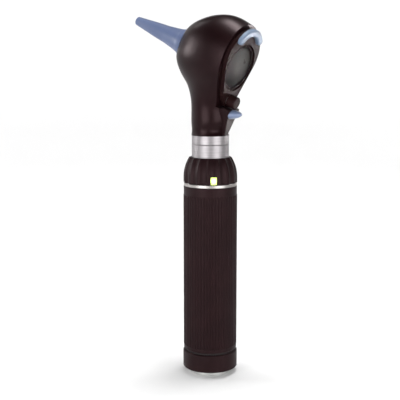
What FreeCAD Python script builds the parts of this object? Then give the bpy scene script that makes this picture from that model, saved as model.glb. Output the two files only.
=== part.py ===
import FreeCAD, Part
import math
import os
import re
import Sketcher

# Otoscope: a ribbed battery handle with a fluted dimmer ring, and a black examination head with a
# swivelling magnifying lens, a lamp and fibre light guide, and a push-button speculum ejector.
#
# Frame, in millimetres: the origin is the middle of the round foot that the handle stands on, +Z runs
# up the handle, +Y points to the rear of the head, where the lens is, and the speculum points to -Y.
# The optics use a local frame of their own: its origin is where the optical axis meets the handle
# axis, its Z runs forward along the optical axis, its Y runs up across it, and X is the same.

SIZES = {
    # Clearances: a running fit, the play of loose parts, and how far cutting shapes run past a piece
    "running_gap": 0.05,
    "play": 0.2,
    "overlap": 0.5,
    "overcut": 1.0,
    "tool_reach": 30.0,
    # Foot and end cap
    "foot_radius": 11.9,
    "foot_bevel": 0.6,
    "foot_height": 3.0,
    "foot_stem_radius": 2.5,
    "cap_radius": 15.3,
    "cap_bevel": 0.5,
    "cap_floor": 1.5,
    "cap_top": 13.0,
    # Grip sleeve, with its vertical ribs
    "seal_top": 14.1,
    "seal_radius": 14.2,
    "sleeve_radius": 14.9,
    "sleeve_bevel": 0.3,
    "rib_radius": 15.05,
    "rib_bottom": 16.4,
    "rib_top": 102.2,
    "rib_count": 56,
    "rib_groove_radius": 0.6,
    "rib_groove_depth": 0.42,
    "sleeve_top": 107.2,
    # Battery compartment
    "tube_radius": 13.75,
    "tube_wall": 0.5,
    "tube_bottom": 5.0,
    "cell_radius": 12.9,
    "cell_length": 49.0,
    "cell_nub_radius": 3.0,
    "cell_nub_height": 1.5,
    "cell_bevel": 0.5,
    "cell_bottom": 7.6,
    "tail_plate_thickness": 0.35,
    "tail_spring_radius": 6.0,
    "tail_spring_wire": 0.25,
    "tail_spring_coil": 0.9,
    # Accent ring and dimmer ring
    "accent_radius": 14.85,
    "accent_top": 109.1,
    "accent_bevel": 0.25,
    "ring_radius": 15.0,
    "ring_bottom": 109.2,
    "ring_shoulder": 112.0,
    "ring_crown_radius": 21.2,
    "ring_top": 123.3,
    "ring_cavity_radius": 12.4,
    "ring_cavity_top": 117.5,
    "flute_count": 16,
    "flute_radius": 4.5,
    "flute_depth": 0.7,
    "flute_angle": 17.5,
    "flute_sweep": 60.0,
    "indicator_angle": 40.0,
    "indicator_width": 3.4,
    "indicator_height": 4.0,
    "indicator_middle": 111.4,
    "indicator_reach": 14.75,
    "board_bottom": 113.6,
    "board_thickness": 1.0,
    "board_gap": 0.3,
    "led_inner": 10.4,
    "led_depth": 1.6,
    "led_width": 2.4,
    "led_height": 1.2,
    "wiper_inner": 9.8,
    "wiper_length": 2.3,
    "wiper_width": 2.0,
    "wiper_thickness": 0.4,
    # Collar, bayonet and centre contact
    "stem_radius": 9.5,
    "collar_radius": 10.35,
    "collar_bottom": 122.6,
    "collar_top": 130.5,
    "collar_bevel": 0.2,
    "collar_bore": 5.0,
    "collar_flange_thickness": 0.8,
    "neck_radius": 7.5,
    "neck_top": 134.4,
    "lug_radius": 9.0,
    "lug_bottom": 132.0,
    "lug_height": 1.4,
    "lug_spread": 24.0,
    "twist_angle": 30.0,
    "entry_spare_angle": 3.0,
    "notch_depth": 1.2,
    "notch_width": 1.4,
    "notch_height": 1.2,
    "notch_bite": 0.4,
    "pin_radius": 1.2,
    "pin_head_radius": 2.2,
    "pin_head_bottom": 109.0,
    "pin_head_height": 1.2,
    "pin_top": 135.3,
    "pin_bevel": 0.4,
    "bush_shoulder": 113.0,
    "bush_recess": 0.4,
    "contact_spring_radius": 1.7,
    "contact_spring_wire": 0.25,
    "contact_spring_coil": 1.1,
    # Head: ring, neck and the egg-shaped shell
    "head_bottom": 135.4,
    "head_bore_radius": 7.4,
    "head_bore_rise": 5.0,
    "head_wall": 2.0,
    "notch_angle": 303.0,
    "spigot_top": 140.0,
    "spigot_bore": 6.3,
    # Optical axis
    "optic_height": 179.65,
    "optic_tilt": 21.0,
    "rear_plane": 17.4,
    "bezel_thickness": 2.2,
    "bezel_hole_radius": 11.2,
    "bezel_drop": 14.2,
    "mouth_radius": 8.2,
    "partition_rear": 6.0,
    "partition_front": 8.0,
    "partition_drop": 7.9,
    "port_gap": 0.3,
    "screw_side": 13.25,
    "screw_rise": 3.0,
    "screw_radius": 0.8,
    "screw_head_radius": 1.2,
    "screw_head_depth": 0.8,
    "screw_hole_end": 12.0,
    "screw_boss_radius": 2.2,
    "screw_boss_end": 10.0,
    # Lens frame, which swings on the pivot below the lens
    "pivot_drop": 18.7,
    "pivot_radius": 2.0,
    "pivot_hole_end": 12.2,
    "pivot_boss_radius": 4.2,
    "pivot_boss_end": 11.6,
    "knob_radius": 3.5,
    "knob_end": 25.4,
    "knob_bevel": 0.5,
    "plate_front": 17.65,
    "plate_rear": 20.1,
    "plate_radius": 15.4,
    "plate_rise": 5.8,
    "plate_corner_radius": 3.0,
    "plate_corner_side": 5.0,
    "plate_corner_drop": 15.2,
    "plate_hub_radius": 4.2,
    "washer_thickness": 0.28,
    "washer_gap": 0.02,
    "washer_inset": 0.3,
    "lens_radius": 12.3,
    "lens_lip": 0.3,
    "lens_edge": 0.8,
    "lens_crown": 50.0,
    "retainer_inner": 11.8,
    "retainer_outer": 12.75,
    "retainer_height": 0.6,
    "retainer_bevel": 0.2,
    "retainer_groove": 13.2,
    "grip_radius": 11.5,
    "grip_rise": 8.8,
    "grip_half_width": 2.0,
    "grip_spread": 108.5,
    "grip_height": 2.2,
    "grip_round": 0.9,
    # Slot below the pivot, where the bottom of the lens frame swings
    "slot_depth": 23.5,
    "slot_rear": 20.5,
    # Button, its housing on the neck, and the ejector that it pushes
    "block_top": 22.4,
    "block_bottom": 37.5,
    "block_rear": 25.2,
    "block_front_top": 10.0,
    "block_front_bottom": 19.0,
    "block_half_top": 6.0,
    "block_half_bottom": 2.4,
    "block_round": 1.0,
    "button_height": 147.3,
    "button_half_width": 4.7,
    "button_half_height": 2.5,
    "button_root": 12.4,
    "button_middle": 13.2,
    "button_tip": 19.8,
    "button_gap": 0.15,
    "button_root_inset": 0.1,
    "button_root_overlap": 0.3,
    "recess_floor": 9.3,
    "recess_length": 12.0,
    "stem_hole": 0.95,
    "button_stem_radius": 0.9,
    "button_stem_end": 6.33,
    "spring_cavity_radius": 1.55,
    "spring_cavity_end": 16.3,
    "button_spring_radius": 1.22,
    "button_spring_wire": 0.18,
    "button_spring_coil": 0.8,
    "slider_top": 26.0,
    "slider_thickness": 1.6,
    "slider_rear": 17.0,
    "slider_front": 6.9,
    "slider_half_width": 3.4,
    "fork_half_gap": 1.9,
    "fork_rear": 16.3,
    "fork_front": 8.3,
    "foot_half_width": 1.8,
    "foot_drop": 28.9,
    "riser_half_width": 2.6,
    "riser_top_front": 10.95,
    "riser_thickness": 1.3,
    "riser_reach": 6.4,
    "ejector_inner": 6.25,
    "ejector_outer": 7.5,
    "ejector_rear": 11.0,
    "ejector_front": 16.4,
    # Nose cone, view tube and light guide
    "cone_flange_radius": 7.0,
    "cone_flange_front": 8.9,
    "cone_wall": 0.6,
    "cone_step": 1.0,
    "cone_base_radius": 5.9,
    "cone_seat_radius": 5.4,
    "cone_seat_rear": 19.0,
    "cone_seat_front": 24.0,
    "cone_step_radius": 4.6,
    "cone_tip": 36.5,
    "cone_tip_radius": 3.4,
    "cone_tip_wall": 0.4,
    "view_tube_rear": 3.0,
    "view_tube_tip": 2.2,
    "view_tube_wall": 0.4,
    "view_tube_inset": 0.3,
    "fibre_width": 0.6,
    "fibre_depth": 2.0,
    "fibre_gap": 0.01,
    "guide_radius": 1.4,
    "guide_bottom": 145.4,
    "guide_drop": 4.6,
    "guide_bend": 8.6,
    # Speculum
    "speculum_base": 16.6,
    "speculum_flange": 7.6,
    "speculum_wall": 0.6,
    "speculum_bevel": 0.2,
    "speculum_seat_spare": 0.3,
    "speculum_seat_lead": 0.8,
    "speculum_tip": 53.0,
    "speculum_tip_radius": 2.475,
    "speculum_tip_bevel": 0.3,
    "speculum_bore": 2.0,
    # Lamp
    "socket_bottom": 136.0,
    "socket_top": 144.0,
    "lamp_radius": 3.2,
    "lamp_base_bottom": 137.0,
    "lamp_base_top": 140.4,
    "bulb_radius": 2.6,
    "bulb_top": 145.0,
    "bulb_tip_radius": 0.3,
    "bulb_tip_curve": 2.86,
    "lamp_contact_radius": 1.5,
    "lamp_contact_step": 0.3,
}

# Level sections of the head's outer form: height, half width across X, half length along Y, and
# how far the section's middle lies behind the handle axis.
HEAD_SECTIONS = (
    (135.4, 10.5, 10.55, 0.0),
    (142.0, 10.5, 10.55, 0.0),
    (148.0, 10.5, 10.6, 0.0),
    (153.0, 10.7, 11.1, 0.4),
    (157.0, 11.5, 13.3, 2.0),
    (163.9, 14.0, 19.7, 6.0),
    (170.7, 16.7, 27.9, 9.8),
    (179.0, 17.5, 31.6, 11.0),
    (187.0, 16.5, 27.0, 9.4),
    (194.0, 13.6, 20.0, 6.9),
    (198.6, 9.2, 12.2, 7.0),
    (200.6, 4.6, 5.8, 7.7),
    (201.1, 1.2, 1.6, 7.9),
)
# The neck is straight up to this section, and the inset of a smaller form lowers this many at the top.
NECK_TOP_SECTION = 2
CROWN_SECTIONS = 4

# Outer sections of the speculum: distance along the optical axis, and radius. Its bore follows them from
# section FLARE_INSIDE onwards.
FLARE = (
    (18.0, 7.6),
    (19.5, 7.3),
    (21.0, 6.75),
    (23.2, 6.2),
    (25.4, 5.8),
    (27.4, 5.5),
    (31.0, 4.9),
    (38.3, 4.2),
)
FLARE_INSIDE = 5

doc = FreeCAD.newDocument("otoscope")
sheet = doc.addObject("Spreadsheet::Sheet", "Sizes")
nodes = []


def fill_sheet():
    """Write each size and its name into the spreadsheet, the sections after the rest."""
    cells = dict(SIZES)
    for place, section in enumerate(HEAD_SECTIONS):
        for word, value in zip(("level", "half_width", "half_length", "shift"), section):
            cells[f"section_{word}_{place}"] = value
    for place, (along, radius) in enumerate(FLARE):
        cells[f"flare_along_{place}"] = along
        cells[f"flare_radius_{place}"] = radius
    for row, (name, value) in enumerate(cells.items(), start=1):
        sheet.set(f"A{row}", name)
        sheet.set(f"B{row}", str(value))
        sheet.setAlias(f"B{row}", name)
    doc.recompute()
    return set(cells)


ALIASES = fill_sheet()


def formula(text):
    """A formula with every size's name turned into a reference to the spreadsheet."""
    return re.sub(r"[a-z_]\w*", lambda word: "Sizes." + word[0] if word[0] in ALIASES else word[0], text)


def number(text):
    """The value of a formula, in millimetres or degrees."""
    found = sheet.evalExpression(formula(text))
    return float(getattr(found, "Value", found))


def bind(item, **formulas):
    """Bind properties to formulas."""
    for name, text in formulas.items():
        item.setExpression(name, formula(text))
    return item


def put(item, x="0", y="0", z="0", rotation=None):
    """Place an item, its position bound to formulas."""
    item.Placement = FreeCAD.Placement(FreeCAD.Vector(), rotation or FreeCAD.Rotation())
    for axis, text in (("x", x), ("y", y), ("z", z)):
        item.setExpression("Placement.Base." + axis, formula(text))
    return item


def on_optic_axis(item):
    """Move an item that is drawn in the optical frame to its place in the head."""
    tilt = FreeCAD.Rotation(FreeCAD.Vector(1, 0, 0), 90 - number("optic_tilt"))
    return put(item, z="optic_height", rotation=tilt)


def node(item):
    """Count an item as a finished piece, which gets a file of its own."""
    item.Label = item.Name
    nodes.append(item)
    return item


# ---------------------------------------------------------------- shapes

def plane(body, role):
    return next(item for item in body.Origin.OriginFeatures if item.Role == role)


def new_sketch(body, name, role):
    sketch = body.newObject("Sketcher::SketchObject", name)
    sketch.AttachmentSupport = (plane(body, role), [""])
    sketch.MapMode = "FlatFace"
    return sketch


def fix_point(sketch, geometry, end, x, y):
    """Hold one end of a sketch's line or arc at a place given by two formulas."""
    for kind, text in (("DistanceX", x), ("DistanceY", y)):
        rule = Sketcher.Constraint(kind, -1, 1, geometry, end, number(text))
        sketch.setExpression(f"Constraints[{sketch.addConstraint(rule)}]", formula(text))


def turned(name, profile):
    """A body of revolution about Z. The profile is a closed outline of (radius, height) formulas. An
    entry with a third formula is reached by an arc of that radius, which bulges outwards."""
    body = doc.addObject("PartDesign::Body", name)
    sketch = new_sketch(body, name + "_profile", "XZ_Plane")
    points = [FreeCAD.Vector(number(entry[0]), number(entry[1]), 0) for entry in profile]
    count = len(points)
    for place in range(count):
        following = (place + 1) % count
        start, end = points[place], points[following]
        if len(profile[following]) == 3:
            sketch.addGeometry(bulged_arc(start, end, number(profile[following][2])), False)
        else:
            sketch.addGeometry(Part.LineSegment(start, end), False)
    for place in range(count):
        following = (place + 1) % count
        begins, ends = 1, 2
        if len(profile[following]) == 3:
            begins, ends = arc_ends(sketch.Geometry[place], points[place])
        fix_point(sketch, place, begins, *profile[place][:2])
        fix_point(sketch, place, ends, *profile[following][:2])
        if len(profile[following]) == 3:
            text = profile[following][2]
            rule = Sketcher.Constraint("Radius", place, number(text))
            sketch.setExpression(f"Constraints[{sketch.addConstraint(rule)}]", formula(text))
    turn = body.newObject("PartDesign::Revolution", name + "_turn")
    turn.Profile = sketch
    turn.ReferenceAxis = (sketch, ["V_Axis"])
    turn.Angle = 360
    return body


def bulged_arc(start, end, radius):
    """The shorter arc from start to end whose middle lies to the right of the way from one to the other."""
    chord = end - start
    middle = (start + end) * 0.5
    right = FreeCAD.Vector(chord.y, -chord.x, 0).normalize()
    sagitta = radius - math.sqrt(radius ** 2 - (chord.Length / 2) ** 2)
    return Part.Arc(start, middle + right * sagitta, end)


def arc_ends(arc, start):
    """The numbers of an arc's first and last point as drawn: a sketch always turns an arc one way."""
    return (1, 2) if arc.StartPoint.distanceToPoint(start) < 1e-6 else (2, 1)


def cylinder(name, radius, height, x="0", y="0", z="0", rotation=None):
    item = bind(doc.addObject("Part::Cylinder", name), Radius=radius, Height=height)
    return put(item, x, y, z, rotation)


def box(name, width, depth, height, x="0", y="0", z="0"):
    """A box whose middle is at (x, y) and whose bottom is at z."""
    item = bind(doc.addObject("Part::Box", name), Length=width, Width=depth, Height=height)
    return put(item, f"{x} - ({width}) / 2", f"{y} - ({depth}) / 2", z)


def fuse(name, items):
    item = doc.addObject("Part::MultiFuse", name)
    item.Shapes = items
    return item


def cut(name, base, tools):
    item = doc.addObject("Part::Cut", name)
    item.Base = base
    item.Tool = tools[0] if len(tools) == 1 else fuse(name + "_cutters", tools)
    return item


def common(name, items):
    item = doc.addObject("Part::MultiCommon", name)
    item.Shapes = items
    return item


def rounded(name, base, radius, wanted):
    """Round the edges of an item that the test accepts."""
    doc.recompute()
    size = number(radius)
    item = doc.addObject("Part::Fillet", name)
    item.Base = base
    edges = enumerate(base.Shape.Edges, start=1)
    item.Edges = [(place, size, size) for place, edge in edges if wanted(edge)]
    return item


def coil(name, radius, wire, pitch, height):
    """A helical spring about Z, from its lowest turn upwards."""
    helix = bind(doc.addObject("Part::Helix", name + "_helix"), Radius=radius, Pitch=pitch, Height=height)
    ring = bind(doc.addObject("Part::Circle", name + "_wire"), Radius=wire)
    put(ring, x=radius, rotation=FreeCAD.Rotation(FreeCAD.Vector(1, 0, 0), 90))
    item = doc.addObject("Part::Sweep", name)
    item.Sections = [ring]
    item.Spine = (helix, [])
    item.Solid = True
    item.Frenet = True
    return item


# ---------------------------------------------------------------- end cap and batteries

def base_contact():
    """Metal foot under the end cap, with a stem that passes the current through the cap's floor."""
    stem_top = "foot_height + cap_floor"
    node(turned("base_contact", [
        ("0", "0"),
        ("foot_radius - foot_bevel", "0"),
        ("foot_radius", "foot_bevel"),
        ("foot_radius", "foot_height"),
        ("foot_stem_radius", "foot_height"),
        ("foot_stem_radius", stem_top),
        ("0", stem_top),
    ]))


def end_cap():
    """Cup that screws over the lower end of the battery tube."""
    floor_top = "foot_height + cap_floor"
    hole = "foot_stem_radius + running_gap"
    bore = "tube_radius + running_gap"
    node(turned("end_cap", [
        (hole, "foot_height"),
        ("cap_radius - cap_bevel", "foot_height"),
        ("cap_radius", "foot_height + cap_bevel"),
        ("cap_radius", "cap_top - cap_bevel"),
        ("cap_radius - cap_bevel", "cap_top"),
        (bore, "cap_top"),
        (bore, floor_top),
        (hole, floor_top),
    ]))


def tail_contact():
    """Plate and spring that press the cells upwards. They slide with the cap and do not turn with it."""
    bottom = "foot_height + cap_floor + running_gap"
    top = f"{bottom} + tail_plate_thickness"
    radius = "tube_radius - tube_wall - 2 * running_gap"
    node(turned("tail_plate", [("0", bottom), (radius, bottom), (radius, top), ("0", top)]))
    start = f"{top} + tail_spring_wire"
    height = f"cell_bottom - ({start}) - tail_spring_wire - running_gap"
    spring = coil("tail_spring", "tail_spring_radius", "tail_spring_wire", "tail_spring_coil", height)
    node(put(spring, z=start))


def batteries():
    """Two round cells, one on the other."""
    for place, name in enumerate(("battery_lower", "battery_upper")):
        bottom = f"cell_bottom + {place} * cell_length"
        shoulder = f"{bottom} + cell_length - cell_nub_height"
        node(turned(name, [
            ("0", bottom),
            ("cell_radius - cell_bevel", bottom),
            ("cell_radius", f"{bottom} + cell_bevel"),
            ("cell_radius", f"{shoulder} - cell_bevel"),
            ("cell_radius - cell_bevel", shoulder),
            ("cell_nub_radius", shoulder),
            ("cell_nub_radius", f"{shoulder} + cell_nub_height"),
            ("0", f"{shoulder} + cell_nub_height"),
        ]))


def tube_ring(name, inner, outer, bottom, top):
    return turned(name, [(inner, bottom), (outer, bottom), (outer, top), (inner, top)])


def battery_tube():
    node(tube_ring("battery_tube", "tube_radius - tube_wall", "tube_radius", "tube_bottom", "sleeve_top"))


def cap_seal():
    """Rubber ring in the groove between the cap and the sleeve."""
    bottom = "cap_top + 3 * running_gap"
    node(tube_ring("cap_seal", "tube_radius + running_gap", "seal_radius", bottom, "seal_top"))


# ---------------------------------------------------------------- grip sleeve

def grip_sleeve():
    """Sleeve over the battery tube, with round grooves between its vertical ribs."""
    bore = "tube_radius + running_gap"
    body = turned("grip_sleeve", [
        (bore, "seal_top"),
        ("sleeve_radius - sleeve_bevel", "seal_top"),
        ("sleeve_radius", "seal_top + sleeve_bevel"),
        ("sleeve_radius", "rib_bottom"),
        ("rib_radius", "rib_bottom"),
        ("rib_radius", "rib_top"),
        ("sleeve_radius", "rib_top"),
        ("sleeve_radius", "sleeve_top"),
        (bore, "sleeve_top"),
    ])
    sketch = new_sketch(body, "rib_groove_profile", "XY_Plane")
    sketch.setExpression("AttachmentOffset.Base.z", formula("rib_bottom"))
    centre = "rib_radius + rib_groove_radius - rib_groove_depth"
    middle = FreeCAD.Vector(number(centre), 0, 0)
    up = FreeCAD.Vector(0, 0, 1)
    sketch.addGeometry(Part.Circle(middle, up, number("rib_groove_radius")), False)
    fix_point(sketch, 0, 3, centre, "0")
    rule = Sketcher.Constraint("Radius", 0, number("rib_groove_radius"))
    sketch.setExpression(f"Constraints[{sketch.addConstraint(rule)}]", formula("rib_groove_radius"))
    groove = body.newObject("PartDesign::Pocket", "rib_groove")
    groove.Profile = sketch
    groove.Reversed = True
    bind(groove, Length="rib_top - rib_bottom")
    doc.recompute()
    pattern = body.newObject("PartDesign::PolarPattern", "rib_grooves")
    pattern.Originals = [groove]
    pattern.Axis = (plane(body, "Z_Axis"), [""])
    pattern.Angle = 360
    bind(pattern, Occurrences="rib_count")
    body.Tip = pattern
    node(body)


def accent_ring():
    """Bright ring between the sleeve and the dimmer ring."""
    node(turned("accent_ring", [
        ("stem_radius + running_gap", "sleeve_top"),
        ("accent_radius - accent_bevel", "sleeve_top"),
        ("accent_radius", "sleeve_top + accent_bevel"),
        ("accent_radius", "accent_top - accent_bevel"),
        ("accent_radius - accent_bevel", "accent_top"),
        ("stem_radius + running_gap", "accent_top"),
    ]))


# ---------------------------------------------------------------- dimmer ring

def flute_cutters():
    """One upright cylinder and one bent round bar for each flute, following the ring's outline."""
    straight = "ring_radius + flute_radius - flute_depth"
    crown_centre = "ring_radius - ring_crown_radius"
    bend = "ring_crown_radius + flute_radius - flute_depth"
    cutters = []
    for place in range(round(number("flute_count"))):
        angle = number("flute_angle") + 360 * place / number("flute_count")
        facing = FreeCAD.Rotation(FreeCAD.Vector(0, 0, 1), angle)
        across, along = f"cos({angle} deg)", f"sin({angle} deg)"
        cutters.append(cylinder(
            f"flute_{place}_straight", "flute_radius", "ring_shoulder - ring_bottom + overcut",
            f"({straight}) * {across}", f"({straight}) * {along}", "ring_bottom - overcut", facing))
        bar = doc.addObject("Part::Torus", f"flute_{place}_bend")
        bind(bar, Radius1=bend, Radius2="flute_radius")
        bar.Angle3 = number("flute_sweep")
        upright = facing.multiply(FreeCAD.Rotation(FreeCAD.Vector(1, 0, 0), 90))
        cutters.append(put(
            bar, f"({crown_centre}) * {across}", f"({crown_centre}) * {along}", "ring_shoulder", upright))
    return cutters


def radial_box(name, inner, length, width, height, bottom, angle):
    """An upright box that reaches outwards from a radius, at an angle round the handle."""
    item = bind(doc.addObject("Part::Box", name), Length=length, Width=width, Height=height)
    facing = FreeCAD.Rotation(FreeCAD.Vector(0, 0, 1), angle)
    across, along = f"cos({angle} deg)", f"sin({angle} deg)"
    return put(item, f"({inner}) * {across} + ({width}) / 2 * {along}",
               f"({inner}) * {along} - ({width}) / 2 * {across}", bottom, facing)


def indicator_block(name, width, height, inner, outer):
    """An upright block on the ring's wall at the indicator's angle."""
    return radial_box(name, inner, f"{outer} - ({inner})", width, height,
                      f"indicator_middle - ({height}) / 2", number("indicator_angle"))


def dimmer_ring():
    """Fluted ring that turns on the collar's stem and sets the brightness."""
    height_left = "ring_top - ring_shoulder"
    top_radius = f"ring_radius - ring_crown_radius + sqrt(ring_crown_radius ^ 2 - ({height_left}) ^ 2)"
    blank = turned("dimmer_blank", [
        ("ring_cavity_radius", "ring_bottom"),
        ("ring_radius", "ring_bottom"),
        ("ring_radius", "ring_shoulder"),
        (top_radius, "ring_top", "ring_crown_radius"),
        ("collar_radius + 2 * running_gap", "ring_top"),
        ("collar_radius + 2 * running_gap", "collar_bottom - 2 * running_gap"),
        ("stem_radius + running_gap", "collar_bottom - 2 * running_gap"),
        ("stem_radius + running_gap", "ring_cavity_top"),
        ("ring_cavity_radius", "ring_cavity_top"),
    ])
    window = indicator_block(
        "indicator_window", "indicator_width + 2 * running_gap", "indicator_height + 2 * running_gap",
        "ring_cavity_radius - overcut", "ring_radius + overcut")
    node(cut("dimmer_ring", blank, flute_cutters() + [window]))


def indicator_lens():
    """Clear block in the ring's wall, which glows while the lamp is on."""
    block = indicator_block(
        "indicator_block", "indicator_width", "indicator_height", "ring_cavity_radius", "indicator_reach")

    def outer_upright(edge):
        middle = edge.BoundBox.Center
        return edge.BoundBox.ZLength > 1 and math.hypot(middle.x, middle.y) > number("ring_radius - overcut")

    node(rounded("indicator_lens", block, "indicator_width / 4", outer_upright))


def dimmer_electronics():
    """Ring-shaped board on the stem, its pilot light, and the wiper that the ring carries over it."""
    top = "board_bottom + board_thickness"
    outer = "ring_cavity_radius - board_gap"
    node(tube_ring("dimmer_board", "stem_radius + running_gap", outer, "board_bottom", top))
    angle = number("indicator_angle")
    node(radial_box("pilot_led", "led_inner", "led_depth", "led_width", "led_height",
                    "board_bottom - led_height", angle))
    node(radial_box("dimmer_wiper", "wiper_inner", "wiper_length", "wiper_width", "wiper_thickness",
                    "ring_cavity_top - wiper_thickness", angle + 180))


# ---------------------------------------------------------------- collar, bayonet and centre contact

def handle_collar():
    """Metal collar with a hollow stem, and a neck with two bayonet lugs on top."""
    flange_bottom = "sleeve_top - collar_flange_thickness"
    turned_part = turned("collar_turning", [
        ("collar_bore", flange_bottom),
        ("tube_radius - tube_wall - running_gap", flange_bottom),
        ("tube_radius - tube_wall - running_gap", "sleeve_top"),
        ("stem_radius", "sleeve_top"),
        ("stem_radius", "collar_bottom"),
        ("collar_radius", "collar_bottom"),
        ("collar_radius", "collar_top - collar_bevel"),
        ("collar_radius - collar_bevel", "collar_top"),
        ("neck_radius", "collar_top"),
        ("neck_radius", "neck_top"),
        ("collar_bore", "neck_top"),
    ])
    lugs = [ring_sector(f"lug_{side}", "neck_radius - overlap", "lug_radius", "lug_height", "lug_bottom",
                        "lug_spread", 180 * side) for side in range(2)]
    node(fuse("handle_collar", [turned_part] + lugs))


def ring_sector(name, inner, outer, height, z, spread, middle):
    """Part of a flat ring about Z, spread degrees wide, with its middle at the angle given."""
    facing = FreeCAD.Rotation(FreeCAD.Vector(0, 0, 1), middle - number(spread) / 2)
    wedge = cylinder(name + "_wedge", outer, height, z=z, rotation=facing)
    wedge.Angle = number(spread)
    hole = cylinder(name + "_hole", inner, height, z=z)
    return cut(name, wedge, [hole])


def centre_contact():
    """Insulating bush in the stem, and the spring-loaded pin that feeds the lamp."""
    bottom = "sleeve_top - collar_flange_thickness"
    node(turned("contact_bush", [
        ("pin_head_radius + 2 * running_gap", bottom),
        ("collar_bore - running_gap", bottom),
        ("collar_bore - running_gap", "neck_top - bush_recess"),
        ("pin_radius + running_gap", "neck_top - bush_recess"),
        ("pin_radius + running_gap", "bush_shoulder"),
        ("pin_head_radius + 2 * running_gap", "bush_shoulder"),
    ]))
    node(turned("contact_pin", [
        ("0", "pin_head_bottom"),
        ("pin_head_radius", "pin_head_bottom"),
        ("pin_head_radius", "pin_head_bottom + pin_head_height"),
        ("pin_radius", "pin_head_bottom + pin_head_height"),
        ("pin_radius", "pin_top - pin_bevel"),
        ("pin_radius - pin_bevel", "pin_top"),
        ("0", "pin_top"),
    ]))
    start = "cell_bottom + 2 * cell_length + contact_spring_wire + running_gap"
    height = f"pin_head_bottom - ({start}) - contact_spring_wire - running_gap"
    spring = coil("contact_spring", "contact_spring_radius", "contact_spring_wire",
                  "contact_spring_coil", height)
    node(put(spring, z=start))


def head_ring():
    """Metal ring under the head, with the recess and the two entries that take the bayonet lugs."""
    bottom = "collar_top + running_gap"
    bore = "neck_radius + running_gap"
    blank = turned("head_ring_turning", [
        (bore, bottom),
        ("collar_radius - collar_bevel", bottom),
        ("collar_radius", f"{bottom} + collar_bevel"),
        ("collar_radius", "head_bottom"),
        ("head_bore_radius - running_gap", "head_bottom"),
        ("head_bore_radius - running_gap", "spigot_top"),
        ("spigot_bore", "spigot_top"),
        ("spigot_bore", "neck_top + play"),
        (bore, "neck_top + play"),
    ])
    recess_bottom = "lug_bottom - play"
    recess = cylinder("bayonet_recess", "lug_radius + 2 * running_gap", "lug_height + 2 * play",
                      z=recess_bottom)
    entries = [ring_sector(f"bayonet_entry_{side}", "pin_radius", "lug_radius + 2 * running_gap",
                           f"{recess_bottom} - ({bottom}) + play", bottom, "lug_spread + entry_spare_angle",
                           180 * side - number("twist_angle")) for side in range(2)]
    notch = radial_box("index_notch", "collar_radius - notch_bite", "notch_depth", "notch_width",
                       "notch_height", f"{bottom} - 2 * running_gap", number("notch_angle"))
    node(cut("head_ring", blank, [recess, notch] + entries))


# ---------------------------------------------------------------- lamp and light guide

def lamp():
    """Plug-in lamp in a metal socket, with its contact below."""
    node(tube_ring("lamp_socket", "lamp_radius + running_gap", "spigot_bore - running_gap",
                   "socket_bottom", "socket_top"))
    node(turned("lamp_contact", [
        ("0", "head_bottom"),
        ("lamp_contact_radius", "head_bottom"),
        ("lamp_contact_radius", "socket_bottom + lamp_contact_step"),
        ("lamp_radius", "socket_bottom + lamp_contact_step"),
        ("lamp_radius", "lamp_base_bottom"),
        ("0", "lamp_base_bottom"),
    ]))
    node(turned("lamp_base", [
        ("0", "lamp_base_bottom"),
        ("lamp_radius", "lamp_base_bottom"),
        ("lamp_radius", "lamp_base_top"),
        ("0", "lamp_base_top"),
    ]))
    node(turned("lamp_bulb", [
        ("0", "lamp_base_top"),
        ("bulb_radius", "lamp_base_top"),
        ("bulb_radius", "bulb_top - bulb_radius"),
        ("bulb_tip_radius", "bulb_top", "bulb_tip_curve"),
        ("0", "bulb_top"),
    ]))


def light_guide():
    """Fibre bundle: straight up from the lamp, round a bend, and forward into the nose cone."""
    tilt = math.radians(number("optic_tilt"))
    bend = number("guide_bend")
    turn = math.pi / 2 - tilt
    forward = FreeCAD.Vector(0, -math.cos(tilt), math.sin(tilt))
    upward = FreeCAD.Vector(0, math.sin(tilt), math.cos(tilt))
    optic_origin = FreeCAD.Vector(0, 0, number("optic_height"))
    end_line = optic_origin - upward * number("guide_drop")
    # The bundle leaves its bend on the line that runs guide_drop below the optical axis.
    reach = (bend - bend * math.cos(turn)) / math.cos(tilt) - math.tan(tilt) * number("guide_drop")
    bend_end = end_line + forward * reach
    bend_start = bend_end + FreeCAD.Vector(0, bend - bend * math.cos(turn), -bend * math.sin(turn))
    half = turn / 2
    bend_middle = bend_start + FreeCAD.Vector(0, -bend + bend * math.cos(half), bend * math.sin(half))
    bottom = FreeCAD.Vector(bend_start.x, bend_start.y, number("guide_bottom"))
    end = end_line + forward * number("partition_front")
    path = Part.Wire([
        Part.LineSegment(bottom, bend_start).toShape(),
        Part.Arc(bend_start, bend_middle, bend_end).toShape(),
        Part.LineSegment(bend_end, end).toShape(),
    ])
    circle = Part.Circle(bottom, FreeCAD.Vector(0, 0, 1), number("guide_radius"))
    guide = doc.addObject("Part::Feature", "light_guide")
    guide.Shape = path.makePipeShell([Part.Wire([circle.toShape()])], True, False)
    node(guide)


# ---------------------------------------------------------------- head shell

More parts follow.
